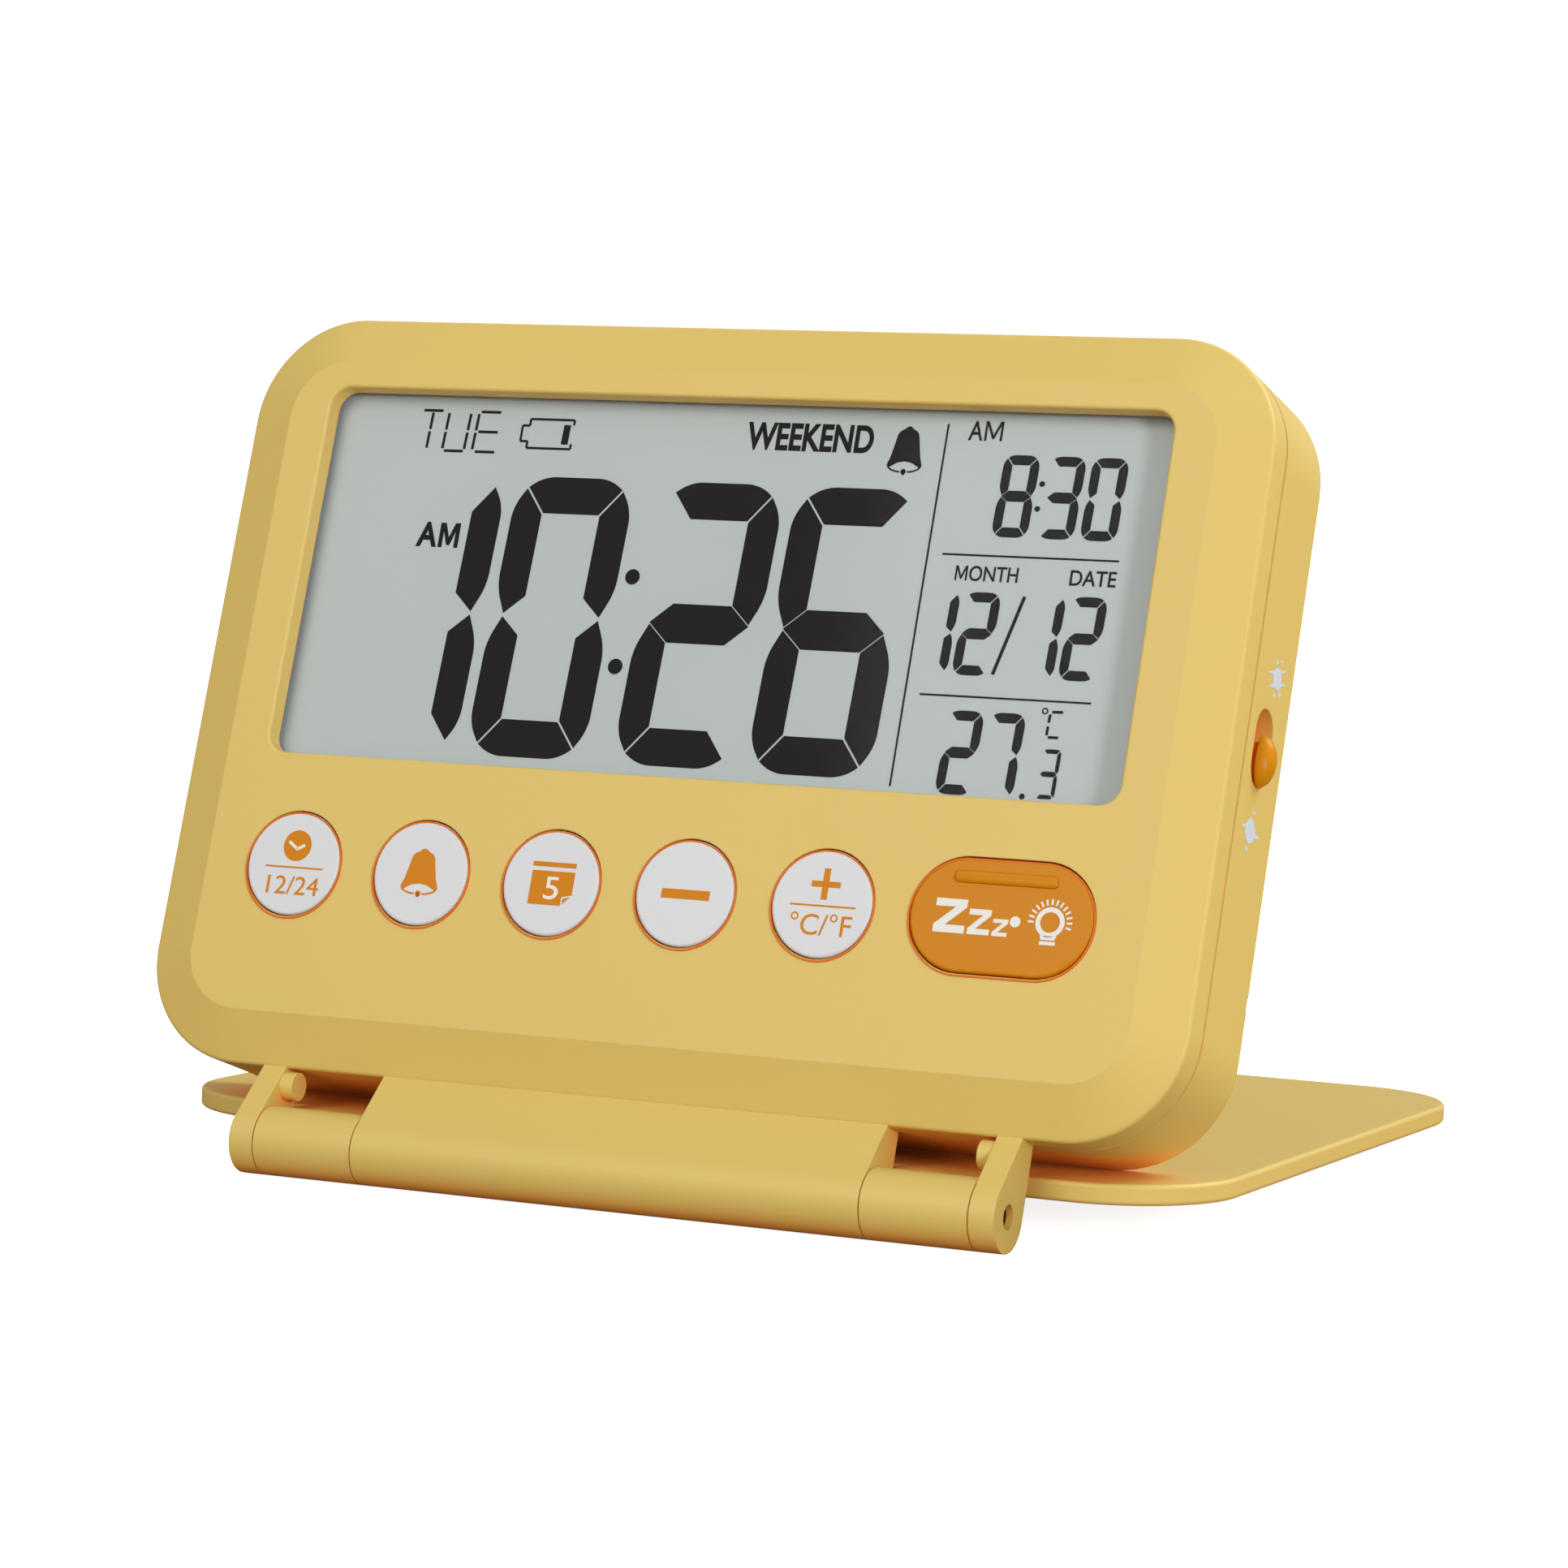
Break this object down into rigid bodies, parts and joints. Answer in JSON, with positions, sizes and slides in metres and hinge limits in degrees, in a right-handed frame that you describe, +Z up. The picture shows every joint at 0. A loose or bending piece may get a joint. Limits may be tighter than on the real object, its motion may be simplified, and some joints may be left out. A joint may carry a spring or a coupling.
{
  "type": "digital travel alarm clock",
  "caption": "Foldable travel alarm clock with a wide display, a row of push buttons, a side slide switch and a hinged cover that folds under as its stand.",
  "frame": {"origin": "on the table under the middle of the clock's overall box, as it stands on its open cover", "axes": "+X to the right of someone facing the display, +Y to the back, +Z up; the display faces -Y and leans back"},
  "size_m": [0.0968, 0.0814, 0.0713],
  "materials": {
    "yellow_plastic": "satin moulded ABS, light amber yellow",
    "amber_plastic": "satin moulded ABS, deeper amber",
    "orange_plastic": "satin moulded ABS, orange",
    "white_plastic": "satin moulded ABS, white",
    "clear_acrylic": "polished clear acrylic",
    "lcd_glass": "grey-green reflective liquid crystal glass",
    "guide_acrylic": "frosted clear acrylic",
    "white_film": "white reflector film",
    "black_tape": "thin black adhesive foam",
    "led_white": "moulded lamp package",
    "zebra_rubber": "layered conductive silicone rubber",
    "board_laminate": "green solder mask on glass laminate",
    "black_epoxy": "cured black epoxy",
    "black_plastic": "black moulded nylon",
    "bright_steel": "nickel plated steel",
    "cell_can": "bright nickel plated can",
    "brass": "rolled brass",
    "ceramic": "silvered piezo ceramic"
  },
  "bodies": {
    "clock": {"front_shell": "yellow_plastic", "rear_shell": "yellow_plastic", "display_lens": "clear_acrylic", "lens_tape": "black_tape", "lcd_panel": "lcd_glass", "display_holder": "white_plastic", "light_guide": "guide_acrylic", "reflector_sheet": "white_film", "backlight_led": "led_white", "zebra_strip": "zebra_rubber", "circuit_board": "board_laminate", "chip_blob": "black_epoxy", "crystal_can": "bright_steel", "thermistor": "black_epoxy", "slide_switch_housing": "bright_steel", "coin_cell": "cell_can", "negative_contact": "bright_steel", "positive_contact": "bright_steel", "buzzer_disc": "brass", "buzzer_ceramic": "ceramic", "buzzer_spring_centre": "bright_steel", "buzzer_spring_rim": "bright_steel", "case_screws": "bright_steel", "board_screws": "bright_steel", "hinge_pin_left": "bright_steel", "hinge_pin_right": "bright_steel", "clock_switch": "black_plastic", "alarm_switch": "black_plastic", "calendar_switch": "black_plastic", "minus_switch": "black_plastic", "plus_switch": "black_plastic", "snooze_switch": "black_plastic"},
    "cover": {"cover_stand": "yellow_plastic"},
    "clock_push": {"clock_button": "white_plastic", "clock_plunger": "black_plastic"},
    "alarm_push": {"alarm_button": "white_plastic", "alarm_plunger": "black_plastic"},
    "calendar_push": {"calendar_button": "white_plastic", "calendar_plunger": "black_plastic"},
    "minus_push": {"minus_button": "white_plastic", "minus_plunger": "black_plastic"},
    "plus_push": {"plus_button": "white_plastic", "plus_plunger": "black_plastic"},
    "snooze_push": {"snooze_button": "orange_plastic", "snooze_plunger": "black_plastic"},
    "switch_slider": {"slide_switch_knob": "amber_plastic", "slide_switch_actuator": "black_plastic"},
    "door": {"battery_door": "yellow_plastic"}
  },
  "joints": [
    {"name": "cover_hinge", "type": "hinge", "parent": "clock", "child": "cover", "pos_m": [-0.00049, -0.03783, 0.00292], "axis": [-1, 0, 0], "range_deg": [0, 287.26]},
    {"name": "clock_press", "type": "slide", "parent": "clock", "child": "clock_push", "axis": [0, 0.9404, -0.3401], "range_m": [0, 0.0005], "stiffness_N_per_m": 2000},
    {"name": "alarm_press", "type": "slide", "parent": "clock", "child": "alarm_push", "axis": [0, 0.9404, -0.3401], "range_m": [0, 0.0005], "stiffness_N_per_m": 2000},
    {"name": "calendar_press", "type": "slide", "parent": "clock", "child": "calendar_push", "axis": [0, 0.9404, -0.3401], "range_m": [0, 0.0005], "stiffness_N_per_m": 2000},
    {"name": "minus_press", "type": "slide", "parent": "clock", "child": "minus_push", "axis": [0, 0.9404, -0.3401], "range_m": [0, 0.0005], "stiffness_N_per_m": 2000},
    {"name": "plus_press", "type": "slide", "parent": "clock", "child": "plus_push", "axis": [0, 0.9404, -0.3401], "range_m": [0, 0.0005], "stiffness_N_per_m": 2000},
    {"name": "snooze_press", "type": "slide", "parent": "clock", "child": "snooze_push", "axis": [0, 0.9404, -0.3401], "range_m": [0, 0.0005], "stiffness_N_per_m": 2000},
    {"name": "alarm_switch_slide", "type": "slide", "parent": "clock", "child": "switch_slider", "axis": [0, 0.3401, 0.9404], "range_m": [0, 0.0021]},
    {"name": "battery_door_turn", "type": "hinge", "parent": "clock", "child": "door", "pos_m": [-0.02048, -0.0097, 0.04129], "axis": [0, 0.9404, -0.3401], "range_deg": [0, 45]}
  ]
}
